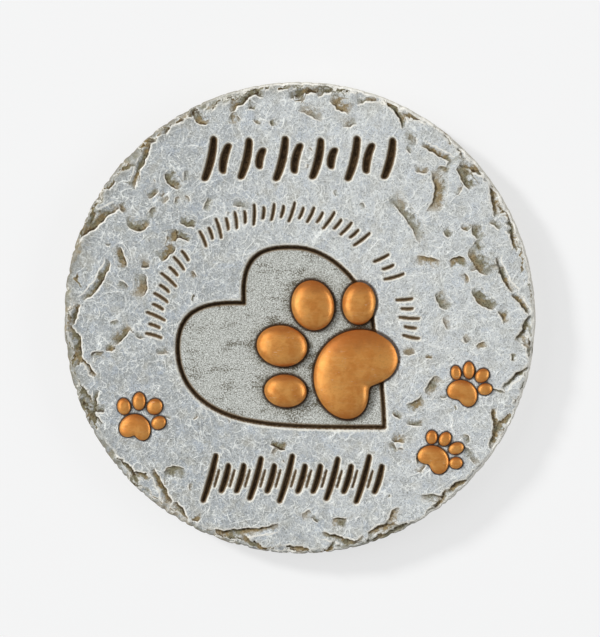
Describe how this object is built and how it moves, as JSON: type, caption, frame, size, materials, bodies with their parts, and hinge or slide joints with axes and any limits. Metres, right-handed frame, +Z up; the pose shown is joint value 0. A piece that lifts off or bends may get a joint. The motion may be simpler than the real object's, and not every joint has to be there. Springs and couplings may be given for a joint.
{
  "type": "cat stepping stone",
  "caption": "Round cast garden stepping stone with a chipped rim, a sunken heart, raised copper paw prints and rows of carved strokes.",
  "frame": {"origin": "centre of the flat underside", "axes": "+Z up out of the carved face, +Y towards the top of the design, +X to the right of the design"},
  "size_m": [0.254, 0.254, 0.0195],
  "materials": {
    "painted_stone": "cast cement under matte blue-grey paint, dry brushed paler on the high spots, with dark brown wash in the carving",
    "copper_paint": "satin metallic copper paint on the raised pads, with a dark brown line round each"
  },
  "bodies": {
    "root": {"stepping_stone": "painted_stone"}
  },
  "joints": []
}
